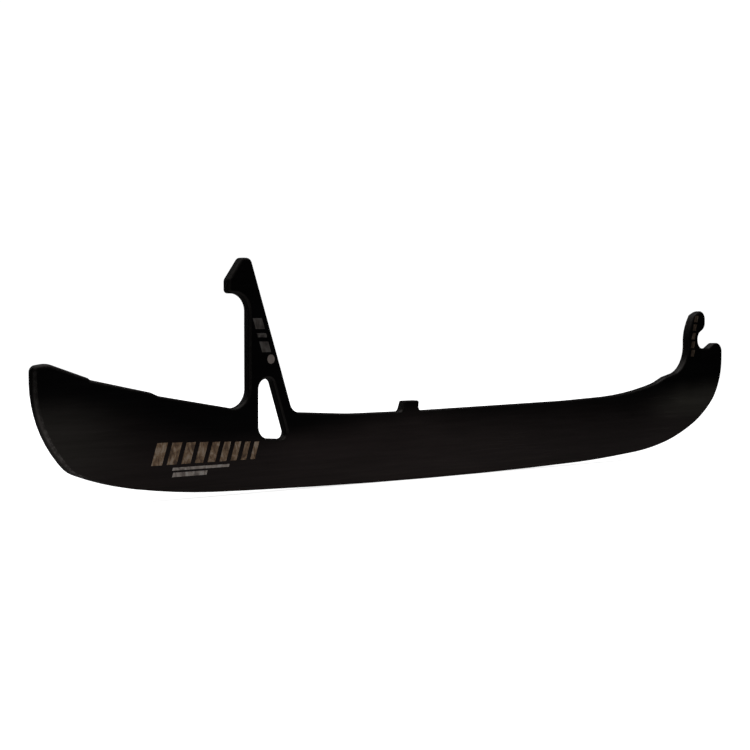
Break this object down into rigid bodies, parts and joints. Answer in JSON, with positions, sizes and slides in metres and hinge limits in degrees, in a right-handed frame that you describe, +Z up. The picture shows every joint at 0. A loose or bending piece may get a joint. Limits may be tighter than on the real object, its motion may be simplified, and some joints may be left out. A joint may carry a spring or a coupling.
{
  "type": "ice hockey skate runner",
  "caption": "Replacement steel runner for an ice hockey skate holder: flat plate with a latch tower, locating tab and front pin hook.",
  "frame": {"origin": "centre of the front pin, at mid thickness of the plate, where the holder holds the runner", "axes": "+X along the blade from tail to toe, +Y through the thickness away from the marked face, +Z up from the ice to the holder"},
  "size_m": [0.285, 0.003, 0.0644],
  "materials": {
    "coated_steel": "thin black coating, satin, over hardened stainless steel",
    "etched_metal": "laser-etched, matt, warm grey"
  },
  "bodies": {
    "root": {"runner": "coated_steel", "stripe_mark": "etched_metal", "underline_mark": "etched_metal", "tower_mark": "etched_metal", "hook_mark": "etched_metal"}
  },
  "joints": []
}
